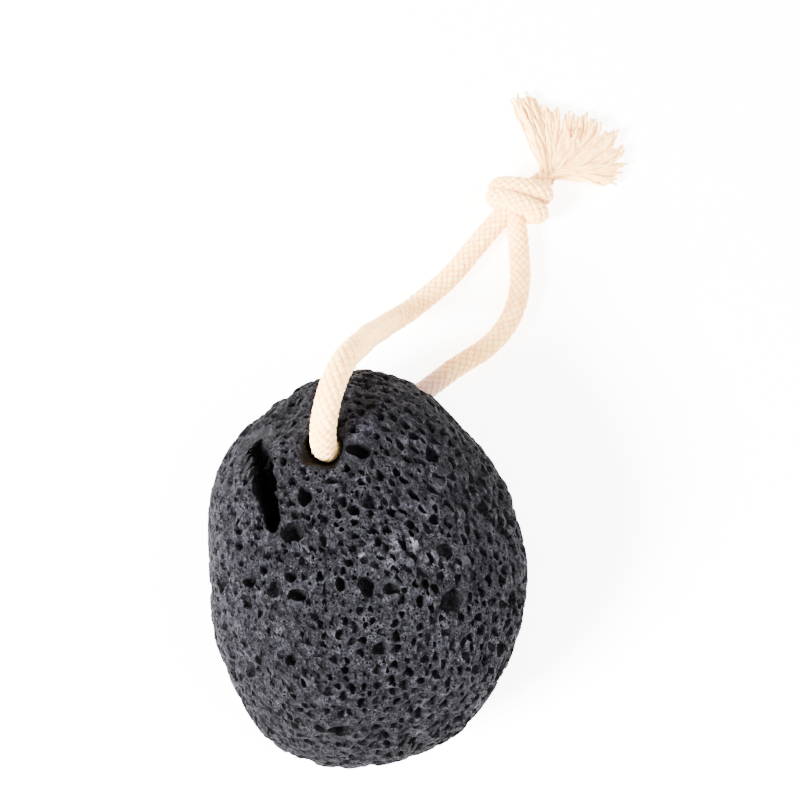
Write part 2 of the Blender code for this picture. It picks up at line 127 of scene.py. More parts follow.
# Rings down a pit: spread over the surface, spread in the hollow, share of the depth.
LARGE_RINGS = ((1.0, 1.0, 0.0), (0.84, 0.93, 0.46), (0.54, 0.62, 0.84))
# Each kind of pit: its rings, the points in a ring, how ragged it is and how dark.
BUBBLE_CUT = (LARGE_RINGS, 18, 0.65, 1.2)
LARGE_CUT = (LARGE_RINGS, 13, 1.0, 1.2)
MEDIUM_CUT = (((1.0, 1.0, 0.0), (0.64, 0.78, 0.68)), 8, 1.2, 1.0)
SMALL_CUT = (((1.0, 1.0, 0.0),), 5, 1.3, 1.0)
SMALL_CANDIDATES = 330000
SMALL_RADII = (0.20, 1.2)
MEDIUM_FROM = 0.58
DROPPED_UNDER = 0.7
STREAKED_FROM = (6.0, -6.0, 20.0)
STREAK_WAY = np.array([0.72, -0.69, 0.0])
# Small pits may run into each other by this much, as thin walls break away.
PIT_OVERLAP = 0.08
RIM_RISE = 0.05
# How many lobes a ragged ring has, and how far each set moves it.
PIT_LOBES = ((2, 0.13), (3, 0.11), (5, 0.07))
FLOOR_ROUGH = 0.14
GRAIN_POINTS = 68000
GRAIN_HEIGHT = 0.08
GRAIN_FROM_PIT = 0.16
SHARP_ANGLE = 42.0

# Uneven wear between the pits: wave lengths, how deep the troughs go, and how many waves.
WEAR = (((4.5, 9.0), 0.34), ((1.5, 3.2), 0.27))
WEAR_WAVES = 28
WEAR_HALF_SIZES = np.array([36.0, 43.0, 24.0])
WEAR_TROUGHS = 0.3


def unit(vectors):
    """Each row of an array made one unit long."""
    return vectors / np.linalg.norm(vectors, axis=1)[:, None]


def outline_radius(angle):
    """Plan radius at an angle in radians: a smooth closed curve through the outline's radii."""
    radii = np.array(OUTLINE)
    step = np.mod(angle, FULL_TURN) / FULL_TURN * len(radii)
    first = np.floor(step).astype(int)
    part = step - first
    before, start, end, after = (radii[(first + k) % len(radii)] for k in (-1, 0, 1, 2))
    slope = 0.5 * (end - before)
    slope_end = 0.5 * (after - start)
    return (start * (1 + 2 * part) * (1 - part) ** 2 + slope * part * (1 - part) ** 2
            + end * (3 - 2 * part) * part ** 2 + slope_end * (part - 1) * part ** 2)


def rub(points, azimuth, elevation, distance, softness):
    """Wear a soft flat: what lies past a plane at that distance is pressed back to it."""
    around, up = math.radians(azimuth), math.radians(elevation)
    face = np.array([math.cos(around) * math.cos(up), math.sin(around) * math.cos(up), math.sin(up)])
    pressed = softness * np.logaddexp(0.0, (points @ face - distance) / softness)
    return points - np.outer(pressed, face)


def stone_form(directions):
    """The smooth form: a superellipse cap over the outline, with lumps, worn flats and a flat base."""
    x, y, z = directions.T
    angle = np.arctan2(y, x)
    level = np.hypot(x, y)
    plan = outline_radius(angle) * level ** (2.0 / CAP_POWER)
    cap = np.abs(z) ** (2.0 / CAP_POWER)
    tilt = MIDDLE_TILT * np.sin(angle - 0.9) + MIDDLE_WAVE * np.sin(2.0 * angle + 1.0)
    height = MID_HEIGHT + tilt * level + cap * np.where(z > 0, TOP_RISE, -BASE_DROP)
    points = np.column_stack([plan * np.cos(angle), plan * np.sin(angle), height])
    px, py, pz = points.T
    lumps = (np.sin(px / 6.3 + 0.8) * np.sin(py / 7.7 + 2.1) + np.sin(py / 5.1 + pz / 6.0 + 1.2)
             + np.sin(px / 4.9 - pz / 5.5 + 0.4) * np.cos(py / 8.9))
    points = points + directions * (LUMP_HEIGHT * lumps * cap)[:, None]
    for face in RUBBED:
        points = rub(points, *face)
    points[:, 2] = np.maximum(points[:, 2], 0.0)
    return points


def surface_at(directions):
    """The place on the form in each direction, with its two slopes and their tangent directions.

    A slope is how far the place moves for a small step of the direction, divided by that step.
    """
    helper = np.where(np.abs(directions[:, 2:]) < 0.8, [[0.0, 0.0, 1.0]], [[1.0, 0.0, 0.0]])
    first = unit(np.cross(helper, directions))
    second = np.cross(directions, first)
    place = stone_form(directions)
    step = 0.002
    slope_first = (stone_form(unit(directions + step * first)) - place) / step
    slope_second = (stone_form(unit(directions + step * second)) - place) / step
    return place, slope_first, slope_second, first, second


def skin_at(directions):
    """Place, outward normal, a level direction, the one beside it and the skin's spread, at each.

    The spread is the area of skin to a small area of the sphere.
    """
    place, slope_first, slope_second, _, _ = surface_at(directions)
    crossed = np.cross(slope_first, slope_second)
    normal = unit(crossed)
    level = unit(slope_first)
    return place, normal, level, np.cross(normal, level), np.linalg.norm(crossed, axis=1)


def where_lines_meet(starts, axis, rounds=12):
    """Directions in which lines through the starts along an axis meet the form.

    Each round takes one Newton step: it solves place + slopes x tangents = start + axis x travel.
    """
    directions = unit((starts - MID_HEIGHT * UP) / HALF_SIZES)
    for _ in range(rounds):
        place, slope_first, slope_second, first, second = surface_at(directions)
        system = np.stack([slope_first, slope_second, -np.broadcast_to(axis, starts.shape)], axis=2)
        steps = np.linalg.solve(system, (starts - place)[:, :, None])[:, :2, 0]
        steps = np.clip(steps, -0.15, 0.15)
        directions = unit(directions + steps[:, :1] * first + steps[:, 1:] * second)
    return directions


def shifted(directions, offsets):
    """Directions moved so that their places move by the offsets along the surface, in millimetres."""
    _, slope_first, slope_second, first, second = surface_at(directions)
    one = (slope_first ** 2).sum(1)
    two = (slope_second ** 2).sum(1)
    both = (slope_first * slope_second).sum(1)
    along_first = (offsets * slope_first).sum(1)
    along_second = (offsets * slope_second).sum(1)
    room = one * two - both ** 2
    move_first = (two * along_first - both * along_second) / room
    move_second = (one * along_second - both * along_first) / room
    return unit(directions + move_first[:, None] * first + move_second[:, None] * second)


def worn(points):
    """The points with uneven wear: sums of small waves running every way, of which troughs sink in.

    The way in is the slope of an ellipsoid about as large as the stone. The flat base is spared.
    """
    chance = np.random.default_rng(3)
    outward = unit((points - MID_HEIGHT * UP) / WEAR_HALF_SIZES ** 2)
    sunk = np.zeros(len(points))
    for (shortest, longest), depth in WEAR:
        ways = unit(chance.normal(size=(WEAR_WAVES, 3)))
        lengths = chance.uniform(shortest, longest, WEAR_WAVES)
        phases = chance.uniform(0.0, FULL_TURN, WEAR_WAVES)
        swell = np.sin(points @ (ways / lengths[:, None]).T * FULL_TURN + phases).sum(1)
        sunk += depth * np.maximum(swell / math.sqrt(0.5 * WEAR_WAVES) + WEAR_TROUGHS, 0.0)
    return points - outward * (sunk * np.clip(points[:, 2] / 1.5, 0.0, 1.0))[:, None]


def open_pits(chance, directions, widths, heights, turns, depths, rings, sides, ragged, shade):
    """Rings of points down every pit of one kind: directions to net them by, places and hollows.

    A ring's radius wavers by a few sines of the angle round it. Widths lie along each pit's turned
    axis and heights across it. A hollow says how much painted shade and dust the material puts on
    each point, 0 at the skin and about 1 at the floor, more in deep narrow pits. Below 0 it says how
    high the rim stands.
    """
    count = len(directions)
    place, normal, level, beside, _ = skin_at(directions)
    angle = FULL_TURN * (np.arange(sides)[None, :] + chance.random((count, 1))) / sides
    waver = np.ones((count, sides))
    for lobes, share in PIT_LOBES:
        waver += ragged * share * np.cos(lobes * angle + FULL_TURN * chance.random((count, 1)))
    long_part = np.cos(angle) * waver * 0.5 * widths[:, None]
    short_part = np.sin(angle) * waver * 0.5 * heights[:, None]
    right = long_part * np.cos(turns)[:, None] - short_part * np.sin(turns)[:, None]
    up = long_part * np.sin(turns)[:, None] + short_part * np.cos(turns)[:, None]
    offset = right[:, :, None] * level[:, None, :] + up[:, :, None] * beside[:, None, :]
    offset = offset.reshape(-1, 3)
    centre, outward = (np.repeat(rows, sides, axis=0) for rows in (directions, normal))
    rim = np.repeat(chance.random(count), sides) * chance.random(len(centre))
    dark = shade * (depths / (0.8 * np.sqrt(widths * heights))).clip(0.2, 1.25)
    nets, places, hollows = [], [], []
    for spread, spread_in_hollow, share in rings:
        uneven = 1.0 + FLOOR_ROUGH * chance.normal(size=(len(centre), 1)) * share
        sunk = np.repeat(depths, sides) * share if share > 0.0 else -RIM_RISE * rim
        nets.append(shifted(centre, offset * spread))
        places.append(stone_form(shifted(centre, offset * spread_in_hollow * uneven))
                      - outward * sunk[:, None])
        hollows.append(share * np.repeat(dark, sides) if share > 0.0 else -rim)
    nets.append(directions)
    places.append(place - normal * depths[:, None])
    hollows.append(dark)
    return np.vstack(nets), np.vstack(places), np.concatenate(hollows)


def tree_of(places):
    """A search tree over the places."""
    tree = KDTree(len(places))
    for index, place in enumerate(places):
        tree.insert(place, index)
    tree.balance()
    return tree


def spaced_apart(places, radii, gap, blocked):
    """Which places stay, first come first kept, so that no two are nearer than radii and gap."""
    tree = tree_of(places)
    widest = radii.max()
    blocked = blocked.copy()
    kept = []
    for index in range(len(places)):
        if blocked[index]:
            continue
        kept.append(index)
        for _, other, distance in tree.find_range(places[index], radii[index] + widest + gap):
            if distance < radii[index] + radii[other] + gap:
                blocked[other] = True
    return np.array(kept)


def too_near(places, radii, gap, taken_places, taken_radii):
    """Which of the places lie nearer to a taken place than both radii and the gap."""
    near = np.zeros(len(places), dtype=bool)
    for centre, reach in zip(taken_places, taken_radii):
        near |= np.linalg.norm(places - centre, axis=1) < reach + radii + gap
    return near


def scattered_pits(taken_places, taken_radii):
    """Directions, radii, stretches and turns of the larger scattered pits, in the order drawn."""
    chance = random.Random(PIT_SEED)
    draws = np.array([
        (chance.gauss(0, 1), chance.gauss(0, 1), chance.gauss(0, 1), chance.uniform(*PIT_RADII),
         chance.uniform(*PIT_STRETCH), chance.uniform(0.0, math.pi)) for _ in range(PIT_TRIES)])
    directions = unit(draws[:, :3])
    places = stone_form(directions)
    reach = draws[:, 3] * draws[:, 4]
    blocked = too_near(places, reach, PIT_SPACING, taken_places, taken_radii)
    kept = spaced_apart(places, reach, PIT_SPACING, blocked)[:SCATTERED_PITS]
    return directions[kept], draws[kept, 3], draws[kept, 4], draws[kept, 5]


def met_from_above(plan):
    """Directions of the places on the upper face over points of the plan."""
    return where_lines_meet(np.column_stack([plan, np.full(len(plan), 45.0)]), UP)


def gash_points(chance):
    """The gash as nested outlines that sink along one direction: directions, places and hollows.

    Width falls off from the top to the foot. The left edge is the more ragged, and a shelf is left
    on the right at the top.
    """
    along = GASH_FOOT - GASH_TOP
    half_length = 0.5 * np.linalg.norm(along)
    along = along / np.linalg.norm(along)
    beside = np.array([along[1], -along[0]])
    middle = 0.5 * (GASH_FOOT + GASH_TOP)
    angle = FULL_TURN * np.arange(GASH_SIDES) / GASH_SIDES
    run, side = (np.sign(wave) * np.abs(wave) ** 0.7 for wave in (np.cos(angle), np.sin(angle)))
    half_width = 0.5 * GASH_WIDTH * (1.0 - (1.0 - GASH_FOOT_SHARE) * 0.5 * (1.0 + run))
    sway = side * half_width + chance.normal(size=GASH_SIDES) * np.where(side > 0, *GASH_RAGGED)
    nets, places = [], []
    for net, spread, share in GASH_RINGS:
        rough = 0.3 * chance.normal(size=(GASH_SIDES, 2)) * (share > 0.0)
        for rows, scale, stray in ((nets, net, 0.0), (places, spread, rough)):
            rows.append(met_from_above(
                middle + along * (run * half_length * (0.25 + 0.75 * scale))[:, None]
                + beside * (sway * scale)[:, None] + stray))
    _, normal, _, _, _ = skin_at(nets[-1].mean(0, keepdims=True))
    inward = unit(0.35 * normal + UP)
    shelf = ((-0.35 - run) / 0.6).clip(0.0, 1.0) * (0.5 - 0.5 * side)
    deep = GASH_DEPTH * (1.0 - 0.35 * np.abs(run) ** 3) * (1.0 - 0.6 * shelf)
    deep = deep * (1.0 + 0.16 * chance.normal(size=GASH_SIDES))
    shares = [share for _, _, share in GASH_RINGS]
    sunk = [stone_form(at) - inward * (deep * share)[:, None] for at, share in zip(places, shares)]
    # Its hollows, up to 1.8 and less on the shelf, make the material paint the gash near black: painted
    # shade and dirt.
    return np.vstack(nets), np.vstack(sunk), np.outer(shares, 1.8 - 1.3 * shelf).reshape(-1)


def mouth_points(mouth, sink, phase):
    """Two rings of directions round a mouth of the bore, and the inner one's places, let in."""
    out = np.cross(BORE_AXIS, [1.0, 0.0, 0.0])
    out = out / np.linalg.norm(out)
    side = np.cross(out, BORE_AXIS)
    angle = FULL_TURN * np.arange(BORE_SIDES) / BORE_SIDES
    spokes = np.cos(angle)[:, None] * side + np.sin(angle)[:, None] * out
    uneven = 1.0 + 0.05 * np.sin(3.0 * angle + phase) + 0.04 * np.sin(5.0 * angle + 2.0)
    outer, inner = (where_lines_meet(mouth + spokes * (0.5 * wide * uneven)[:, None], BORE_AXIS)
                    for wide in (MOUTH_DIAMETER + 0.1, MOUTH_DIAMETER - 0.4))
    return outer, inner, stone_form(inner) + sink * BORE_AXIS


def net_over(directions):
    """Triangles that join directions on the sphere, seen from far below and closed at the bottom.

    Stereographic projection keeps circles, so the flat Delaunay net is the sphere's own.
    """
    flat = directions[:, :2] / (1.0 + directions[:, 2:])
    made = delaunay_2d_cdt([Vector(row) for row in flat.tolist()], [], [], 0, 1e-9)
    faces = np.array(made[2])
    halves = np.vstack([faces[:, [0, 1]], faces[:, [1, 2]], faces[:, [2, 0]]])
    code = halves[:, 0].astype(np.int64) * len(directions) + halves[:, 1]
    back = halves[:, 1].astype(np.int64) * len(directions) + halves[:, 0]
    rim = halves[~np.isin(code, back)]
    pole = np.full((len(rim), 1), len(directions))
    return np.vstack([faces, np.hstack([rim[:, ::-1], pole])])


def put_piece(name, points, faces, material, values=None, sharp=None):
    """A piece made of points in millimetres and faces, with named values carried on its points."""
    mesh = bpy.data.meshes.new(name)
    mesh.from_pydata((points * MM).tolist(), [], faces.tolist())
    for value_name, numbers in (values or {}).items():
        layer = mesh.attributes.new(value_name, "FLOAT", "POINT")
        layer.data.foreach_set("value", np.asarray(numbers, dtype=np.float32))
    mesh.polygons.foreach_set("use_smooth", np.ones(len(mesh.polygons), dtype=bool))
    if sharp is not None:
        mesh.set_sharp_from_angle(angle=math.radians(sharp))
    mesh.materials.append(material)
    mesh.update()
    piece = bpy.data.objects.new(name, mesh)
    bpy.context.scene.collection.objects.link(piece)
    return piece


def ring_faces(rows):
    """Triangles between rings of points that follow each other, from rows of their numbers."""
    ahead = np.roll(rows, -1, axis=1)
    one = np.stack([rows[:-1], ahead[:-1], rows[1:]], axis=-1).reshape(-1, 3)
    two = np.stack([ahead[:-1], ahead[1:], rows[1:]], axis=-1).reshape(-1, 3)
    return np.vstack([one, two])


def coarse_side(places):
    """A smooth step from 0 on the left, where the froth is fine, to 1 where it is coarse."""
    return 1.0 / (1.0 + np.exp(-(places[:, 0] + 0.25 * places[:, 1] + 13.0) / 6.0))


def small_pits(chance, taken_places, taken_radii):
    """Directions, places, radii, stretches and turns of the small pits, larger ones placed first.

    A radius is the least one plus the range times a draw to a power that is lower, so that pits are
    larger, where the froth is coarse. The pits on the upper right are drawn out in streaks.
    """
    ways = unit(chance.normal(size=(SMALL_CANDIDATES, 3)))
    places, _, _, _, spread = skin_at(ways)
    clump = np.sin(places[:, 0] / 2.3 + 1.0 + np.sin(places[:, 1] / 3.1)) * np.sin(places[:, 1] / 2.6)
    coarse = coarse_side(places) * (0.70 + 0.30 * clump)
    under = places[:, 2] < 0.3 * MID_HEIGHT
    draw = chance.random(SMALL_CANDIDATES)
    least, most = SMALL_RADII
    radii = (least + (most - least) * draw ** (7.0 - 2.2 * coarse)) * (0.82 + 0.24 * coarse)
    chosen = chance.random(SMALL_CANDIDATES) < spread / spread.max()
    chosen &= ~(under & (chance.random(SMALL_CANDIDATES) < DROPPED_UNDER))
    order = np.flatnonzero(chosen)
    order = order[np.argsort(-radii[order])]
    ways, places, radii = ways[order], places[order], radii[order]
    streaked = (places > STREAKED_FROM).all(1)
    stretch = 1.0 + 0.55 * chance.random(len(ways)) ** 2 + 0.8 * streaked * chance.random(len(ways))
    blocked = too_near(places, radii, -PIT_OVERLAP, taken_places, taken_radii)
    kept = spaced_apart(places, radii * np.sqrt(stretch), -PIT_OVERLAP, blocked)
    ways, places, radii, stretch, streaked = (
        rows[kept] for rows in (ways, places, radii, stretch, streaked))
    edge_turn = np.arctan2(places[:, 1], places[:, 0]) + 0.5 * np.pi
    turns = np.where(chance.random(len(ways)) < 0.5, edge_turn, np.pi * chance.random(len(ways)))
    _, _, level, beside, _ = skin_at(ways)
    turns = np.where(streaked, np.arctan2(beside @ STREAK_WAY, level @ STREAK_WAY), turns)
    return ways, places, radii, stretch, turns


def grain_between(chance, pit_places, pit_radii):
    """The skin between the pits: directions, places and hollows of evenly spaced rough points.

    They lie on a golden spiral, thinned where the skin is narrow and cleared out of the pits.
    """
    row = np.arange(GRAIN_POINTS) + 0.5
    lift = 1.0 - 2.0 * row / GRAIN_POINTS
    spin = np.pi * (1.0 + 5.0 ** 0.5) * row
    ring = np.sqrt(1.0 - lift ** 2)
    ways = np.column_stack([ring * np.cos(spin), ring * np.sin(spin), lift])
    ways = unit(ways + 0.003 * chance.normal(size=ways.shape))
    spread = skin_at(ways)[4]
    ways = ways[chance.random(len(spread)) < spread / np.quantile(spread, 0.9)]
    tree = tree_of(stone_form(ways))
    inside = np.zeros(len(ways), dtype=bool)
    for place, reach in zip(pit_places, pit_radii):
        for _, index, _ in tree.find_range(place, reach + GRAIN_FROM_PIT):
            inside[index] = True
    places, normal, _, _, _ = skin_at(ways[~inside])
    rough = GRAIN_HEIGHT * chance.normal(size=len(places)).clip(-2.0, 1.2)
    rough = np.where(places[:, 2] < 0.05, 0.0, rough)
    return ways[~inside], places + normal * rough[:, None], np.zeros(len(places))


def bore_wall(chance, front_ring, rear_ring):
    """Rings of rough wall from one mouth of the bore to the other, wider at its ends."""
    walls = []
    for share in np.linspace(0.0, 1.0, BORE_RINGS + 2)[1:-1]:
        between = front_ring + share * (rear_ring - front_ring)
        reach = (between - FRONT_MOUTH) @ BORE_AXIS
        centre = FRONT_MOUTH + reach[:, None] * BORE_AXIS
        from_mouth = np.minimum(reach, BORE_LENGTH - reach).clip(0.0, MOUTH_DEPTH)
        wide = MOUTH_DIAMETER + (BORE_DIAMETER - MOUTH_DIAMETER) * from_mouth / MOUTH_DEPTH
        rough = 1.0 + 0.03 * chance.normal(size=BORE_SIDES)
        walls.append(centre + unit(between - centre) * (0.5 * wide * rough)[:, None])
    return np.vstack(walls)


def stone_surface():
    """The whole skin of the stone: pits, gash and bore netted together with grain between them."""
    chance = np.random.default_rng(7)
    bubbles = np.array(OPEN_BUBBLES)
    bubble_ways = met_from_above(bubbles[:, :2])
    bubble_places, _, level, beside, _ = skin_at(bubble_ways)
    bubble_turns = np.arctan2(beside[:, 0], level[:, 0])
    gash = gash_points(chance)
    front_outer, front_inner, front_lowered = mouth_points(FRONT_MOUTH, MOUTH_SINK, 0.0)
    rear_outer, rear_inner, rear_lowered = mouth_points(REAR_MOUTH, -MOUTH_SINK, 1.0)

    # Later pits keep clear of the mouths, the gash and the bubbles, the large ones of the base too.
    mouths = stone_form(where_lines_meet(np.array([FRONT_MOUTH, REAR_MOUTH]), BORE_AXIS))
    gash_line = stone_form(met_from_above(np.linspace(*GASH_LINE, 7)))
    taken_places = np.vstack([[BASE_POINT], mouths, gash_line, bubble_places])
    taken_radii = np.concatenate([
        [BARE_BASE_RADIUS], np.full(2, 0.5 * MOUTH_DIAMETER + 0.7), np.linspace(*GASH_CLEAR, 7),
        0.5 * bubbles[:, 2:].max(1),
    ])
    large_ways, large_radii, large_stretch, large_turns = scattered_pits(taken_places, taken_radii)
    taken_places = np.vstack([taken_places[1:], stone_form(large_ways)])
    taken_radii = np.concatenate([taken_radii[1:], large_radii * np.sqrt(large_stretch)])
    ways, places, radii, stretch, turns = small_pits(chance, taken_places, taken_radii)
    grain = grain_between(chance, np.vstack([taken_places, places]),
                          np.concatenate([taken_radii, radii * np.sqrt(stretch)]))

    parts = [
        open_pits(chance, bubble_ways, bubbles[:, 2], bubbles[:, 3], bubble_turns,
                  0.62 * bubbles[:, 2:].mean(1) + 0.7, *BUBBLE_CUT),
        open_pits(chance, large_ways, 2.0 * large_radii * large_stretch, 2.0 * large_radii,
                  large_turns, 1.25 * large_radii, *LARGE_CUT),
    ]
    deepness = radii * (0.65 + 0.5 * coarse_side(places))
    medium = radii > MEDIUM_FROM
    for rows, least, more, cut in ((medium, 0.7, 1.4, MEDIUM_CUT), (~medium, 0.9, 1.6, SMALL_CUT)):
        depths = deepness[rows] * (least + more * chance.random(rows.sum()))
        parts.append(open_pits(
            chance, ways[rows], 2.0 * (radii * stretch ** 0.5)[rows],
            2.0 * (radii / stretch ** 0.5)[rows], turns[rows], depths, *cut))
    parts += [
        gash,
        grain,
        # Hollows of 1.5 and 1.8 make the material paint the front mouth and both inner rings near black
        # with painted shade.
        (front_outer, stone_form(front_outer), np.full(BORE_SIDES, 1.5)),
        (rear_outer, stone_form(rear_outer), np.zeros(BORE_SIDES)),
        (front_inner, front_lowered, np.full(BORE_SIDES, 1.8)),
        (rear_inner, rear_lowered, np.full(BORE_SIDES, 1.8)),
    ]
    net, points, hollow = (np.concatenate([part[k] for part in parts]) for k in range(3))
    faces = net_over(net)
    points = worn(np.vstack([points, [[0.0, 0.0, 0.0]]]))

    # The two mouths lose their lids and are joined by the bore's wall.
    front_rows, rear_rows = (len(net) + np.arange(BORE_SIDES) - back * BORE_SIDES for back in (2, 1))
    lids = np.isin(faces, front_rows).all(1) | np.isin(faces, rear_rows).all(1)
    wall_rows = len(points) + np.arange(BORE_RINGS * BORE_SIDES).reshape(-1, BORE_SIDES)
    bore_faces = ring_faces(np.vstack([[front_rows], wall_rows, [rear_rows]]))
    points = np.vstack([points, bore_wall(chance, points[front_rows], points[rear_rows])])
    # The bore's wall gets a hollow of 1.8, which the material paints near black as painted shade.
    hollow = np.concatenate([hollow, [0.0], np.full(BORE_RINGS * BORE_SIDES, 1.8)])
    return points, np.vstack([faces[~lids], bore_faces]), hollow


class Link:
    """A socket of a material's nodes that can be added, multiplied and so on like a number.

    A number or triple joined to it goes into the node that does the sum. Colours and vectors are
    worked out by Vector Math, single values by Math.
    """

    def __init__(self, tree, socket=None):
        self.tree = tree
        self.socket = socket

    def make(self, kind, settings=None, values=None, output=0):
        """Add a node, choose its settings, then give its inputs values or links."""
        node = self.tree.nodes.new(kind)
        for name, choice in (settings or {}).items():
            setattr(node, name, choice)
        for key, value in (values or {}).items():
            if isinstance(value, Link):
                self.tree.links.new(value.socket, node.inputs[key])
            else:
                node.inputs[key].default_value = value
        return Link(self.tree, node.outputs[output])

    def sum_of(self, operation, first, second):
        """One node that joins both: Vector Math if either is a colour or a vector, else Math."""
        wide = any(isinstance(part, tuple) or isinstance(part, Link) and part.socket.type != "VALUE"
                   for part in (first, second))
        if not wide:
            return self.make("ShaderNodeMath", {"operation": operation}, {0: first, 1: second})
        first, second = ((part,) * 3 if isinstance(part, (int, float)) else part
                         for part in (first, second))
        return self.make("ShaderNodeVectorMath", {"operation": operation}, {0: first, 1: second})

    def __add__(self, other):
        return self.sum_of("ADD", self, other)

    def __radd__(self, other):
        return self.sum_of("ADD", other, self)

    def __sub__(self, other):
        return self.sum_of("SUBTRACT", self, other)

    def __rsub__(self, other):
        return self.sum_of("SUBTRACT", other, self)

    def __mul__(self, other):
        return self.sum_of("MULTIPLY", self, other)

    def __rmul__(self, other):
        return self.sum_of("MULTIPLY", other, self)

    def __truediv__(self, other):
        return self.sum_of("DIVIDE", self, other)

    def __rtruediv__(self, other):
        return self.sum_of("DIVIDE", other, self)

    def place(self):
        """The piece's own coordinates in millimetres."""
        return self.make("ShaderNodeTexCoord", output=3) * 1000.0

    def carried(self, name):
        """A value that the piece carries on its points."""
        return self.make("ShaderNodeAttribute", {"attribute_name": name}, output=2)

    def part(self, axis):
        """One of a vector's three parts."""
        return self.make("ShaderNodeSeparateXYZ", None, {0: self}, output=axis)

    def distance(self, *spot):
        """How far this place is from a spot."""
        return self.make("ShaderNodeVectorMath", {"operation": "DISTANCE"}, {0: self, 1: spot},
                         output=1)

    def cells(self, scale):
        """How far this place is from the middle of its Voronoi cell."""
        return self.make("ShaderNodeTexVoronoi", None, {"Vector": self, "Scale": scale})

    def bump(self, strength, reach):
        """A normal from this height, with its reach in millimetres."""
        return self.make("ShaderNodeBump", None, {
            "Strength": strength, "Distance": reach * MM, "Height": self})

    def ramp(self, low, high, to_low=0.0, to_high=1.0):
        """The value carried from one range to another with soft ends, and held outside it."""
        return self.make("ShaderNodeMapRange", {"interpolation_type": "SMOOTHSTEP"}, {
            "Value": self, "From Min": low, "From Max": high, "To Min": to_low, "To Max": to_high})

    def noise(self, scale, detail=2.0, roughness=0.5):
        """Noise read at this place, with about scale lumps to a unit of length."""
        return self.make("ShaderNodeTexNoise", None, {
            "Vector": self, "Scale": scale, "Detail": detail, "Roughness": roughness})

    def blend(self, first, second):
        """This share of the second colour over the first."""
        first, second = ((*part, 1.0) if isinstance(part, tuple) else part
                         for part in (first, second))
        return self.make("ShaderNodeMix", {"data_type": "RGBA"}, {0: self, 6: first, 7: second},
                         output=2)


def new_material(name, **fixed):
    """A material with one Principled shader, its fixed values set, and a start for its links."""
    material = bpy.data.materials.new(name)
    material.use_nodes = True
    shader = material.node_tree.nodes["Principled BSDF"]
    for socket, value in fixed.items():
        shader.inputs[socket.replace("_", " ")].default_value = value
    return material, shader, Link(material.node_tree)


def feed(shader, socket, link):
    """Let a link drive one of the shader's sockets."""
    link.tree.links.new(link.socket, shader.inputs[socket])


# Rubbed pale places: x, y, z and how far each reaches.
PALE_PLACES = (
    (5.6, -1.2, 46.0, 1.3), (6.6, 2.6, 46.0, 1.5), (10.5, 3.0, 46.0, 1.6), (-0.6, 0.4, 46.0, 0.9),
    (20.5, -14.0, 43.0, 1.6), (-28.5, -26.0, 24.0, 2.0), (24.0, -30.0, 26.0, 2.6),
    (13.5, 9.0, 45.5, 1.2), (9.5, 34.5, 34.0, 1.2), (-18.0, -15.0, 43.5, 1.2),
)


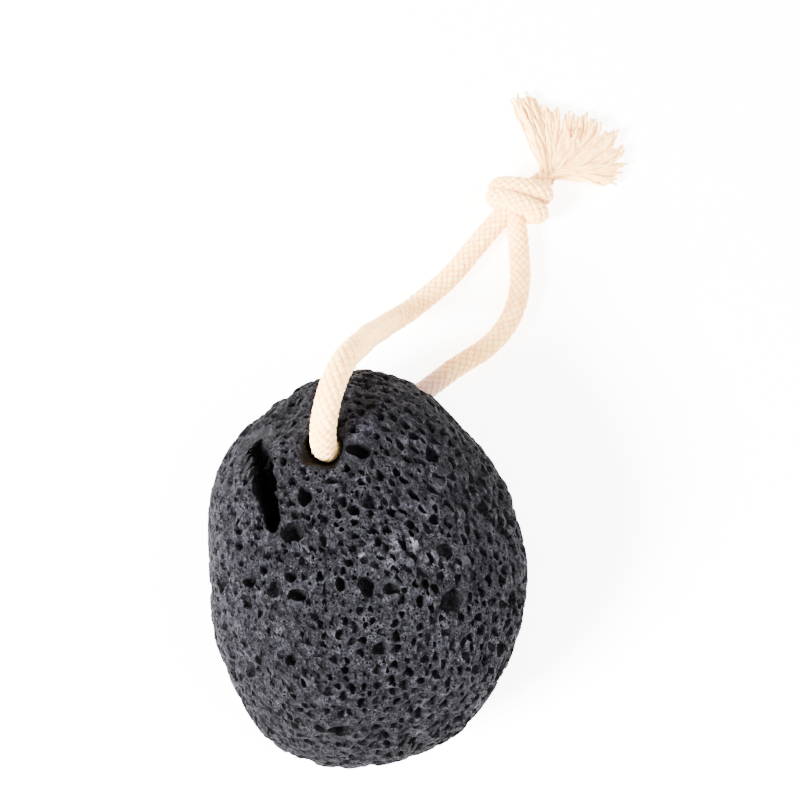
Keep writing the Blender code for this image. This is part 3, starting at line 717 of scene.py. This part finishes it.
def stone_material():
    """Dark violet-grey lava: mottled, with painted light and shade across it, black with painted
    shade and dust down the pits, pale specks and worn pale rims.

    Pores too fine for the mesh are dark spots of painted shade, one in each cell of a Voronoi texture.
    """
    material, shader, start = new_material("lava", IOR=1.5, Specular_IOR_Level=0.08)
    place = start.place()
    hollow = start.carried("hollow")
    aside = place.part(0)
    endways = place.part(1)
    patches = place.noise(0.85, 4.0, 0.7).ramp(0.38, 0.62)
    grain = place.noise(2.0, 4.0, 0.85)
    body = (0.42 * patches + 0.58 * grain.ramp(0.38, 0.68)).blend(
        (0.0018, 0.0018, 0.0024), (0.0232, 0.0226, 0.0268))
    broad = place.noise(0.09, 3.0, 0.6).ramp(0.35, 0.65)
    body = (0.25 * broad).blend(body, (0.0105, 0.0102, 0.0125))
    # Painted light: a paler left edge.
    body = (0.34 * aside.ramp(-21.0, -34.0)).blend(body, (0.034, 0.033, 0.038))
    body = (0.7 * place.distance(-0.9, 28.4, 43.0).ramp(4.6, 2.4)).blend(body, (0.030, 0.0292, 0.041))

    # Two sizes of pore as dark spots of painted shade, then lighter grain, worn rims, rubbed places and
    # crystals over them.
    warped = place + 0.5 * start.make("ShaderNodeTexNoise", None, {
        "Vector": place, "Scale": 1.5, "Detail": 1.0}, output=1)
    pore_size = place.noise(0.9, 2.0, 0.6).ramp(0.34, 0.56, 0.28, 0.64)
    fine_size = place.noise(0.7, 2.0, 0.6).ramp(0.34, 0.62, 0.12, 0.52)
    pore = (warped.cells(1.15) / pore_size).ramp(1.15, 0.55)
    pore = pore + (1.0 - pore) * (warped.cells(1.9) / fine_size).ramp(1.1, 0.6) * 0.8
    body = (0.88 * pore).blend(body, (0.0012, 0.0012, 0.0015))
    body = (0.6 * place.noise(1.35, 3.0, 0.7).ramp(0.55, 0.72)).blend(body, (0.050, 0.0486, 0.0548))
    rim = hollow.ramp(0.0, -0.55) * place.noise(0.30, 3.0, 0.6).ramp(0.40, 0.62, 0.35, 1.0)
    body = (0.75 * rim).blend(body, (0.048, 0.0466, 0.0530))
    broken = place.noise(1.1, 3.0, 0.7).ramp(0.44, 0.60)
    for x, y, z, reach in PALE_PLACES:
        share = place.distance(x, y, z).ramp(reach + 0.6, 0.3 * reach) * broken * hollow.ramp(0.5, 0.0)
        body = (0.95 * share).blend(body, (0.120, 0.117, 0.126))
    speck_room = place.noise(0.33, 3.0, 0.6).ramp(0.50, 0.68)
    specks = place.cells(1.9).ramp(0.34, 0.14) * speck_room * hollow.ramp(0.2, 0.0)
    body = (0.85 * specks).blend(body, (0.100, 0.098, 0.106))

    # Painted light and shade: darker towards both ends, a gradient from a darker left to a lighter right
    # and darker on the upper right, with random mottling. Painted shade and dust down the pits.
    body = body * endways.ramp(8.0, 36.0, 0.80, 0.62) * endways.ramp(-12.0, -40.0, 1.0, 0.64)
    body = body * place.noise(0.75, 3.0, 0.7).ramp(0.37, 0.60, 0.48, 1.0)
    body = body * aside.ramp(-24.0, 24.0, 0.90, 1.12) * (0.98, 0.97, 1.05)
    body = body * (1.0 - 0.26 * aside.ramp(4.0, 26.0) * endways.ramp(2.0, 22.0))
    # Painted shade and dust: darker down the pits, near black in the gash and the bore.
    body = body * hollow.ramp(0.0, 1.0, 0.88, 0.50) * hollow.ramp(1.0, 1.8, 1.0, 0.1)
    # Painted shade in the large bubble by the mouth.
    bubble_shade = place.distance(-1.1, 23.6, 41.0).ramp(4.4, 2.6) * hollow.ramp(0.05, 0.4)
    body = body * (1.0 - 0.8 * bubble_shade)
    feed(shader, "Base Color", body)
    feed(shader, "Roughness", grain.ramp(0.2, 0.8, 0.88, 1.0))
    height = grain + 0.5 * place.noise(9.0, 2.0, 0.6) - 1.3 * pore
    feed(shader, "Normal", height.bump(0.8, 0.16))
    return material


stone_points, stone_faces, stone_hollow = stone_surface()
stone = put_piece("stone", stone_points, stone_faces, stone_material(),
                  {"hollow": stone_hollow}, SHARP_ANGLE)
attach(stone, "root")
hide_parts("pumice_stone")


# ==== The cord's front leg =========================================================================
# Round braided cotton, undyed. It comes up out of the mouth on the upper face, arches over the
# drilled end and runs along the ground to the knot. Sixteen strands, eight wound each way.

FRONT_ROUTE = (
    (-0.0052, 0.0280, 0.0271), (-0.0063, 0.0263, 0.0318), (-0.0080, 0.0242, 0.0380),
    (-0.0088, 0.0254, 0.0449), (-0.0081, 0.0305, 0.0499), (-0.0064, 0.0364, 0.0509),
    (-0.0046, 0.0408, 0.0492), (-0.0028, 0.0442, 0.0454), (-0.0012, 0.0474, 0.0378),
    (0.0005, 0.0513, 0.0280), (0.0030, 0.0552, 0.0180), (0.0057, 0.0587, 0.0102),
    (0.0095, 0.0622, 0.0052), (0.0133, 0.0657, 0.0031), (0.0174, 0.0692, 0.0028),
    (0.0211, 0.0730, 0.0028), (0.0246, 0.0773, 0.0028), (0.0282, 0.0816, 0.0031),
)
BRAID_LAY = 16.0
BRAID_MIDDLE = 1.92
BRAID_WAVE = 0.30
BRAID_SLACK = 0.05
STRANDS_EACH_WAY = 8
STRAND_WIDTH = 1.42
STRAND_THICKNESS = 0.96
STRAND_SIDES = 12
STRAND_STEP = 0.42
CORE_RADIUS = 1.75
CORE_SIDES = 12
CORE_EVERY = 3
CREASE_FROM = 2.68
CREASE_DEPTH = 0.46
KNOT_INSIDE = (0.0346, 0.0888, 0.0046)
ACROSS_LEGS = np.array([0.958, -0.287, 0.0])


def smooth_route(points, step):
    """A natural cubic spline through the points, in millimetres, read at even steps."""
    knots = 1000.0 * np.array(points)
    gaps = np.linalg.norm(np.diff(knots, axis=0), axis=1)
    count = len(knots)
    system = np.eye(count)
    pull = np.zeros((count, 3))
    for row in range(1, count - 1):
        system[row, row - 1:row + 2] = gaps[row - 1], 2.0 * (gaps[row - 1] + gaps[row]), gaps[row]
        pull[row] = 6.0 * ((knots[row + 1] - knots[row]) / gaps[row]
                           - (knots[row] - knots[row - 1]) / gaps[row - 1])
    bend = np.linalg.solve(system, pull)
    runs = []
    for row in range(count - 1):
        ahead = np.linspace(0.0, 1.0, 40, endpoint=False)[:, None]
        behind = 1.0 - ahead
        runs.append(behind * knots[row] + ahead * knots[row + 1] + gaps[row] ** 2 / 6.0
                    * ((behind ** 3 - behind) * bend[row] + (ahead ** 3 - ahead) * bend[row + 1]))
    fine = np.vstack(runs + [knots[-1:]])
    travelled = np.concatenate([[0.0], np.cumsum(np.linalg.norm(np.diff(fine, axis=0), axis=1))])
    stops = np.linspace(0.0, travelled[-1], round(travelled[-1] / step) + 1)
    return np.column_stack([np.interp(stops, travelled, fine[:, axis]) for axis in range(3)])


def ahead_along(line, closed=False):
    """Unit vectors ahead at each point of a line, or of a closed ring."""
    if not closed:
        return unit(np.gradient(line, axis=0))
    loop = np.vstack([line[-1:], line, line[:1]])
    return unit(loop[2:] - loop[:-2])


def frame_along(line, sideways, closed=False):
    """Unit vectors to the side and up at each point of a line, from one sideways direction."""
    ahead = ahead_along(line, closed)
    side = unit(sideways - (ahead @ sideways)[:, None] * ahead)
    return side, np.cross(ahead, side)


def tube_faces(rings, sides, first=0, closed=False):
    """Triangles round a tube of rings, with a point at each end to close it unless it is a ring."""
    rows = first + np.arange(rings * sides).reshape(rings, sides)
    if closed:
        return ring_faces(np.vstack([rows, rows[:1]]))
    start = first + rings * sides
    start_cap = np.stack([np.roll(rows[0], -1), rows[0], np.full(sides, start)], axis=-1)
    end_cap = np.stack([rows[-1], np.roll(rows[-1], -1), np.full(sides, start + 1)], axis=-1)
    return np.vstack([ring_faces(rows), start_cap, end_cap])


def braid(line, sideways, swell, lay=BRAID_LAY, closed=False):
    """Braided strands about a line: points, faces, and values along, round and down the creases.

    A strand winds at radius middle + wave x cos(strands x winding), plus for one hand and minus
    for the other, so that the hands pass over and under each other. Its section is a flattened
    round. Each strand lies a little slack or tight, as two slow sines. Swell thickens the whole
    cord, point by point.
    """
    side, up = frame_along(line, sideways, closed)
    gaps = np.linalg.norm(np.diff(line, axis=0), axis=1)
    travelled = np.concatenate([[0.0], np.cumsum(gaps)])
    winding = FULL_TURN * travelled / lay
    weave = np.cos(STRANDS_EACH_WAY * winding)
    count = len(line)
    turn = FULL_TURN * np.arange(STRAND_SIDES) / STRAND_SIDES
    across = np.sign(np.cos(turn)) * np.abs(np.cos(turn)) ** 0.85 * 0.5 * STRAND_WIDTH
    thick = np.sin(turn) * 0.5 * STRAND_THICKNESS
    parts = []
    for hand in (1.0, -1.0):
        for strand in range(STRANDS_EACH_WAY):
            angle = hand * winding + FULL_TURN * strand / STRANDS_EACH_WAY
            slack = (np.sin(0.9 * travelled + 2.4 * strand + hand)
                     + np.sin(2.3 * travelled + 4.1 * strand - 2.0 * hand))
            radius = (BRAID_MIDDLE + hand * BRAID_WAVE * weave + BRAID_SLACK * slack) * swell
            outward = np.cos(angle)[:, None] * side + np.sin(angle)[:, None] * up
            middle = line + radius[:, None] * outward
            forward = ahead_along(middle, closed)
            width = unit(np.cross(forward, outward))
            height = np.cross(width, forward)
            ring = (middle[:, None, :] + swell[:, None, None] * (
                width[:, None, :] * across[None, :, None] + height[:, None, :] * thick[None, :, None]))
            reach = np.linalg.norm(ring - line[:, None, :], axis=2) / swell[:, None]
            points = ring.reshape(-1, 3)
            along = np.repeat(travelled, STRAND_SIDES)
            around = np.tile(turn / FULL_TURN, count) + 10.0 * strand + 100.0 * (hand > 0)
            # How deep in the creases each point lies, for the material's painted shade; the end points
            # count as deep.
            crease = ((CREASE_FROM - reach) / CREASE_DEPTH).clip(0.0, 1.0).reshape(-1)
            if not closed:
                points = np.vstack([points, middle[[0, -1]]])
                along = np.append(along, travelled[[0, -1]])
                around = np.append(around, [0.0, 0.0])
                crease = np.append(crease, [1.0, 1.0])
            faces = tube_faces(count, STRAND_SIDES, closed=closed)
            parts.append((points, faces, along, around, crease))
    return joined(parts)


def plain_tube(line, radii, sides, sideways):
    """A plain round tube about a line, closed at both ends."""
    side, up = frame_along(line, sideways)
    turn = FULL_TURN * np.arange(sides)[None, :, None] / sides
    spokes = np.cos(turn) * side[:, None, :] + np.sin(turn) * up[:, None, :]
    ring = line[:, None, :] + radii[:, None, None] * spokes
    return np.vstack([ring.reshape(-1, 3), line[[0, -1]]]), tube_faces(len(line), sides)


def joined(parts):
    """Several sets of points, faces and the values of their points, as one set."""
    firsts = np.cumsum([0] + [len(part[0]) for part in parts])
    faces = np.vstack([part[1] + first for part, first in zip(parts, firsts)])
    values = [np.concatenate([part[k] for part in parts]) for k in range(2, len(parts[0]))]
    return [np.vstack([part[0] for part in parts]), faces] + values


def cotton_material():
    """Undyed cotton: warm cream, each strand a little different, with painted shade in the creases.

    Fine fibres run along the strands. A painted shadow of the stone greys the back leg by the stone's
    lower mouth, and painted shade darkens the cord in the bore.
    """
    material, shader, start = new_material(
        "cotton", IOR=1.45, Specular_IOR_Level=0.12, Sheen_Weight=0.2, Sheen_Roughness=0.6,
        Subsurface_Weight=0.12, Subsurface_Radius=(0.9, 0.6, 0.4), Subsurface_Scale=0.4 * MM)
    place = start.place()
    crease = start.carried("crease")
    strand = start.make("ShaderNodeCombineXYZ", None, {
        0: start.carried("along") * 0.45, 1: start.carried("around") * 26.0, 2: 0.0})
    fibres = strand.noise(1.0, 3.0, 0.6)
    mottle = place.noise(0.45, 3.0, 0.6)
    fluff = place.noise(5.0, 3.0, 0.7)
    tone = 0.4 * fibres.ramp(0.3, 0.7) + 0.6 * mottle.ramp(0.37, 0.63)
    body = tone.blend((0.98, 0.46, 0.11), (1.0, 0.68, 0.245))
    # Painted shade in the creases, less where the cord lies high over the stone, and deeper painted
    # shade between the knot's turns and at the yarns' roots.
    raised = place.part(2).ramp(14.0, 40.0, 0.95, 0.55)
    body = (crease.ramp(0.1, 0.9) * raised).blend(body, (0.66, 0.30, 0.09))
    body = (crease.ramp(0.95, 1.45) * 0.75).blend(body, (0.36, 0.19, 0.07))
    # Painted shadow of the stone on the back leg beside it.
    stone_shadow = place.distance(10.0, 41.0, 3.0).ramp(18.0, 4.0)
    body = (0.95 * stone_shadow).blend(body, (0.33, 0.20, 0.16))
    # Painted shade on the cord down in the bore.
    bore_shade = place.distance(-6.0, 27.0, 30.0).ramp(11.5, 7.5)
    body = (0.95 * bore_shade).blend(body, (0.030, 0.026, 0.024))
    feed(shader, "Base Color", body)
    feed(shader, "Roughness", fluff.ramp(0.2, 0.8, 0.85, 0.98))
    feed(shader, "Normal", (fibres + 0.5 * fluff).bump(0.5, 0.10))
    return material


def cotton_piece(name, parts):
    """A piece of cotton from its parts: points, faces and values along, round and down creases."""
    points, faces, along, around, crease = joined(parts)
    return put_piece(name, points, faces, COTTON, {"along": along, "around": around, "crease": crease})


def cord_leg(name, route, swell_start, swell_end):
    """One leg of braided cord with a plain core that closes the gaps between its strands.

    Its last stretch, from the route's end to the middle of the knot, is hidden in the knot.
    """
    line = smooth_route((*route, KNOT_INSIDE), STRAND_STEP)
    swell = swell_start + (swell_end - swell_start) * np.linspace(0.0, 1.0, len(line))
    core = plain_tube(line[::CORE_EVERY], CORE_RADIUS * swell[::CORE_EVERY], CORE_SIDES, ACROSS_LEGS)
    blank = np.zeros(len(core[0]))
    strands = braid(line, ACROSS_LEGS, swell)
    # The core counts as wholly in a crease, so it takes the painted shade of the creases.
    return cotton_piece(name, [strands, (*core, blank, blank, blank + 1.0)]), line


COTTON = cotton_material()
front_leg, front_line = cord_leg("front_leg", FRONT_ROUTE, 1.10, 0.98)
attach(front_leg, "root")
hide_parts("cord_front_leg")


# ==== The cord's back leg ==========================================================================
# The same cord out of the mouth low on the drilled end, lying on the ground all the way to the knot.

BACK_ROUTE = (
    (-0.0048, 0.0278, 0.0267), (-0.0037, 0.0291, 0.0209), (-0.0026, 0.0304, 0.0153),
    (-0.0012, 0.0322, 0.0101), (0.0014, 0.0347, 0.0058), (0.0056, 0.0381, 0.0032),
    (0.0106, 0.0415, 0.0028), (0.0152, 0.0448, 0.0028), (0.0194, 0.0481, 0.0028),
    (0.0234, 0.0507, 0.0028), (0.0274, 0.0532, 0.0028), (0.0312, 0.0568, 0.0028),
    (0.0340, 0.0610, 0.0028), (0.0359, 0.0660, 0.0028), (0.0366, 0.0712, 0.0028),
    (0.0364, 0.0764, 0.0028), (0.0360, 0.0816, 0.0030),
)

back_leg, back_line = cord_leg("back_leg", BACK_ROUTE, 0.99, 0.98)
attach(back_leg, "root")
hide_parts("cord_back_leg")


# ==== The knot =====================================================================================
# The two legs tied together in one overhand knot: two turns of the same cord lie side by side over
# the bundle of legs and tails.

KNOT_CENTRE = np.array([36.3, 90.0, 5.9])
KNOT_TURN = -17.0
KNOT_TAIL_END = np.array([42.6, 95.2, 4.8])
WRAP_HALF_LENGTH = 5.5
WRAP_HALF_HEIGHT = 3.1
WRAP_SPACING = 3.5
WRAP_SPREAD = 0.26
WRAP_SWELL = 0.98
WRAP_LAY = 13.0
# Width and strength of the painted shade where the two turns meet.
WRAP_SHADE_REACH = 0.55
WRAP_SHADE_DEPTH = 1.3
WRAP_LEAN = 4.0
WRAP_STEPS = 84
TAIL_SWELL = 0.95


def wrap_turn(shift, lean):
    """One turn of the knot as a braided ring round the bundle, flattened by the pull of the knot.

    The turns lie closer together at the left end than at the right, and each is darkened with
    painted shade where it meets the other.
    """
    turn = math.radians(KNOT_TURN + lean)
    along = np.array([math.cos(turn), math.sin(turn), 0.0])
    beside = np.array([-math.sin(turn), math.cos(turn), 0.0])
    angle = np.linspace(0.0, FULL_TURN, WRAP_STEPS, endpoint=False)
    line = (KNOT_CENTRE + np.outer(shift * (1.0 + WRAP_SPREAD * np.cos(angle)), beside)
            + np.outer(np.cos(angle), along) * WRAP_HALF_LENGTH
            + np.outer(np.sin(angle), WRAP_HALF_HEIGHT * UP))
    around = np.linalg.norm(np.diff(np.vstack([line, line[:1]]), axis=0), axis=1).sum()
    lay = around / round(around / WRAP_LAY)
    points, faces, strand_along, strand_around, crease = braid(
        line, beside, np.full(len(line), WRAP_SWELL), lay, True)
    between = np.exp(-(((points - KNOT_CENTRE) @ beside) / WRAP_SHADE_REACH) ** 2)
    return points, faces, strand_along, strand_around, np.maximum(crease, WRAP_SHADE_DEPTH * between)


def knot_tail():
    """The short stretch of cord in which both tails leave the knot."""
    reach = KNOT_TAIL_END - KNOT_CENTRE
    share = np.linspace(0.0, 1.0, round(np.linalg.norm(reach) / STRAND_STEP))
    return braid(KNOT_CENTRE + np.outer(share, reach), UP, np.full(len(share), TAIL_SWELL))


knot = cotton_piece("knot", [
    wrap_turn(-0.5 * WRAP_SPACING, 0.0), wrap_turn(0.5 * WRAP_SPACING, WRAP_LEAN), knot_tail()])
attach(knot, "root")
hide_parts("cord_knot")


# ==== The frayed ends ==============================================================================
# Both tails beyond the knot are unravelled into their yarns, which fan out in crimped tufts over
# the ground. Loose fibres stand off the yarns.

FRAY_ROOT = np.array([42.9, 95.6, 4.8])
FRAY_SPRING = np.array([1.2, 1.8, 0.0])
FRAY_TIPS = np.array([
    (36.4, 116.6, 2.2), (39.6, 117.0, 1.8), (42.4, 113.8, 2.4), (45.4, 113.6, 2.0),
    (49.0, 111.8, 2.2), (52.6, 112.0, 2.0), (56.0, 110.4, 2.2), (59.6, 107.4, 2.4),
    (61.6, 103.4, 2.2), (62.0, 99.2, 2.0), (59.4, 95.8, 2.2), (50.0, 107.0, 4.2),
])
# How far each tuft bows aside on its way to its tip, as a share of its reach.
FRAY_BOWS = np.array([-0.04, 0.02, 0.03, 0.10, 0.16, 0.24, 0.30, 0.32, 0.27, 0.16, 0.04, 0.24])
# How far the tips, the roots and the places where the yarns spring apart scatter.
TIP_SCATTER = (0.9, 0.9, 0.6)
ROOT_SCATTER = (0.7, 0.7, 0.8)
SPRING_SCATTER = (0.8, 0.8, 0.9)
# Crimps in a yarn: how many, and how wide.
CRIMPS = ((2.5, 0.26), (6.0, 0.09))
GOLDEN_SHARE = 0.618
YARNS_IN_TUFT = 20
YARN_RADIUS = 0.42
YARN_SIDES = 6
YARN_STEPS = 30
YARN_LENGTH = 22.0
YARN_ARCH = 1.4
# Strength of the painted shade at the yarns' roots.
YARN_ROOT_SHADE = 1.5
HAIRS = 1700
HAIR_RADIUS = 0.04
HAIR_STEPS = 6
HAIR_SIDES = 3


def yarn_lines(chance):
    """Middle lines of every yarn: from the root through a spring to its own tip, crimped on the way."""
    count = len(FRAY_TIPS) * YARNS_IN_TUFT
    tips = np.repeat(FRAY_TIPS, YARNS_IN_TUFT, axis=0)
    scatter = chance.normal(size=(count, 3)).clip(-1.6, 1.3) * TIP_SCATTER
    reach = 1.0 - 0.15 * chance.random((count, 1)) ** 1.5
    root = FRAY_ROOT + chance.normal(size=(count, 3)) * ROOT_SCATTER
    spring = FRAY_ROOT + FRAY_SPRING + chance.normal(size=(count, 3)) * SPRING_SCATTER
    end = spring + (tips + scatter - spring) * reach
    middle = 0.5 * (spring + end) + YARN_ARCH * UP + 0.6 * chance.normal(size=(count, 3))
    own = np.modf(np.arange(count) * GOLDEN_SHARE)[0]
    bow = np.repeat(FRAY_BOWS, YARNS_IN_TUFT) * (0.7 + 0.6 * own)
    run = end - spring
    middle[:, :2] += bow[:, None] * np.column_stack([run[:, 1], -run[:, 0]])
    share = np.linspace(0.0, 1.0, YARN_STEPS)[None, :, None]
    back = 1.0 - share
    line = (back ** 3 * root[:, None] + 3 * back ** 2 * share * spring[:, None]
            + 3 * back * share ** 2 * middle[:, None] + share ** 3 * end[:, None])
    for crimps, size in CRIMPS:
        phase = FULL_TURN * chance.random((count, 1, 3))
        line = line + size * share * np.sin(FULL_TURN * crimps * share + phase)
    line[:, :, 2] = np.maximum(line[:, :, 2], YARN_RADIUS + 0.15)
    return line


def tube_bundle(lines, radii, sides, depth):
    """Many round tubes at once: lines by count, steps and three; radii by count and steps.

    Depth is the crease value at their starts, which the material turns into painted shade. It falls
    away towards the tips, and each tube takes its own share of it.
    """
    count, steps, _ = lines.shape
    ahead = np.gradient(lines, axis=1)
    ahead = ahead / np.linalg.norm(ahead, axis=2, keepdims=True)
    side = np.cross(ahead, UP)
    side = side / np.linalg.norm(side, axis=2, keepdims=True).clip(1e-6)
    up = np.cross(ahead, side)
    turn = FULL_TURN * np.arange(sides)[:, None] / sides
    spokes = np.cos(turn) * side[:, :, None] + np.sin(turn) * up[:, :, None]
    rings = lines[:, :, None] + radii[:, :, None, None] * spokes
    block = np.concatenate([rings.reshape(count, -1, 3), lines[:, [0, -1]]], axis=1)
    faces = tube_faces(steps, sides) + (np.arange(count) * block.shape[1])[:, None, None]
    share = np.repeat(np.linspace(0.0, 1.0, steps), sides)
    along = np.tile(np.append(share, [0.0, 1.0]), count) * YARN_LENGTH
    around = np.tile(np.append(np.tile(turn[:, 0] / FULL_TURN, steps), [0.0, 0.0]), count)
    around = around + np.repeat(np.arange(count) * 3.0, block.shape[1])
    near_root = np.tile(np.append((1.0 - share) ** 1.3, [1.0, 0.0]), count)
    own = np.repeat(np.modf(np.arange(count) * GOLDEN_SHARE)[0], block.shape[1])
    crease = depth * near_root * (0.15 + 0.85 * own)
    return block.reshape(-1, 3), faces.reshape(-1, 3), along, around, crease


def frayed_parts():
    """Yarns that taper at the tip, and hairs that leave them at a slant."""
    chance = np.random.default_rng(23)
    lines = yarn_lines(chance)
    count = len(lines)
    share = np.linspace(0.0, 1.0, YARN_STEPS)[None]
    thick = YARN_RADIUS * (1.0 - 0.35 * share ** 8) * (0.85 + 0.3 * chance.random((count, 1)))
    thick = thick * (1.0 + 0.10 * np.sin(FULL_TURN * (14.0 * share + chance.random((count, 1)))))
    yarns = tube_bundle(lines, thick, YARN_SIDES, YARN_ROOT_SHADE)
    host = chance.integers(0, count, HAIRS)
    spot = (YARN_STEPS * (0.25 + 0.66 * chance.random(HAIRS) ** 0.6)).astype(int).clip(1, YARN_STEPS - 2)
    start = lines[host, spot]
    forward = unit(lines[host, spot + 1] - lines[host, spot - 1])
    aim = unit(forward + 0.75 * chance.normal(size=(HAIRS, 3)))
    length = 0.9 + 1.6 * chance.random((HAIRS, 1, 1)) ** 1.5
    run = np.linspace(0.0, 1.0, HAIR_STEPS)[None, :, None]
    curl = 0.5 * chance.normal(size=(HAIRS, 1, 3))
    hairs = start[:, None] + length * (run * aim[:, None] + run ** 2 * curl)
    hairs[:, :, 2] = np.maximum(hairs[:, :, 2], 0.1)
    slim = HAIR_RADIUS * (1.0 - 0.6 * run[:, :, 0]) * np.ones((HAIRS, 1))
    return yarns, tube_bundle(hairs, slim, HAIR_SIDES, 0.0)


frayed_ends = cotton_piece("frayed_ends", frayed_parts())
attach(frayed_ends, "root")
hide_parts("cord_frayed_ends")


# ==== Ground, light and camera =====================================================================
# A plain white ground under one large soft light from the lower left and a broad even fill.

FLOOR_HALF = 3.0
CAMERA_TARGET = np.array([0.0076, 0.0382, 0.020])
CAMERA_DISTANCE = 0.400
CAMERA_ELEVATION = 80.0
LENS = 79.0
LIGHT_AIM = (0.0, 0.02, 0.02)


def soft_light(name, place, size, power):
    """A white square area light that faces the middle of the stone."""
    light = bpy.data.lights.new(name, "AREA")
    light.shape = "SQUARE"
    light.size = size
    light.energy = power
    lamp = bpy.data.objects.new(name, light)
    lamp.location = place
    aim = Vector(LIGHT_AIM) - Vector(place)
    lamp.rotation_euler = aim.to_track_quat("-Z", "Y").to_euler()
    bpy.context.scene.collection.objects.link(lamp)


def put_floor():
    """One large white square just under the object."""
    mesh = bpy.data.meshes.new("ground")
    corners = ((-1, -1), (1, -1), (1, 1), (-1, 1))
    mesh.from_pydata([(x * FLOOR_HALF, y * FLOOR_HALF, 0.0) for x, y in corners], [], [(0, 1, 2, 3)])
    material, shader, start = new_material(
        "paper", Roughness=0.9, Specular_IOR_Level=0.0, Emission_Color=(1.0, 1.0, 1.0, 1.0),
        Emission_Strength=6.0)
    mottle = start.place().noise(0.8, 2.0, 0.5)
    feed(shader, "Base Color", mottle.blend((0.90, 0.90, 0.90), (0.93, 0.93, 0.93)))
    mesh.materials.append(material)
    floor = bpy.data.objects.new("ground", mesh)
    bpy.context.scene.collection.objects.link(floor)


def put_camera():
    """A camera above the stone, leaning a little from the vertical towards its near end."""
    lens = bpy.data.cameras.new("camera")
    lens.lens = LENS
    lens.sensor_width = 36.0
    lens.clip_start = 0.01
    lens.clip_end = 20.0
    camera = bpy.data.objects.new("camera", lens)
    lean = math.radians(CAMERA_ELEVATION)
    back = np.array([0.0, -math.cos(lean), math.sin(lean)])
    camera.location = CAMERA_TARGET + CAMERA_DISTANCE * back
    camera.rotation_euler = (math.radians(90.0 - CAMERA_ELEVATION), 0.0, 0.0)
    bpy.context.scene.collection.objects.link(camera)
    bpy.context.scene.camera = camera


put_floor()
put_camera()
soft_light("key", (-0.95, -0.52, 0.86), 0.4, 255.0)
soft_light("fill", (0.85, -0.10, 1.0), 1.2, 48.0)
world = bpy.data.worlds.new("studio")
bpy.context.scene.world = world
world.use_nodes = True
sky = world.node_tree.nodes["Background"]
sky.inputs["Color"].default_value = (1.0, 1.0, 1.0, 1.0)
sky.inputs["Strength"].default_value = 2.5
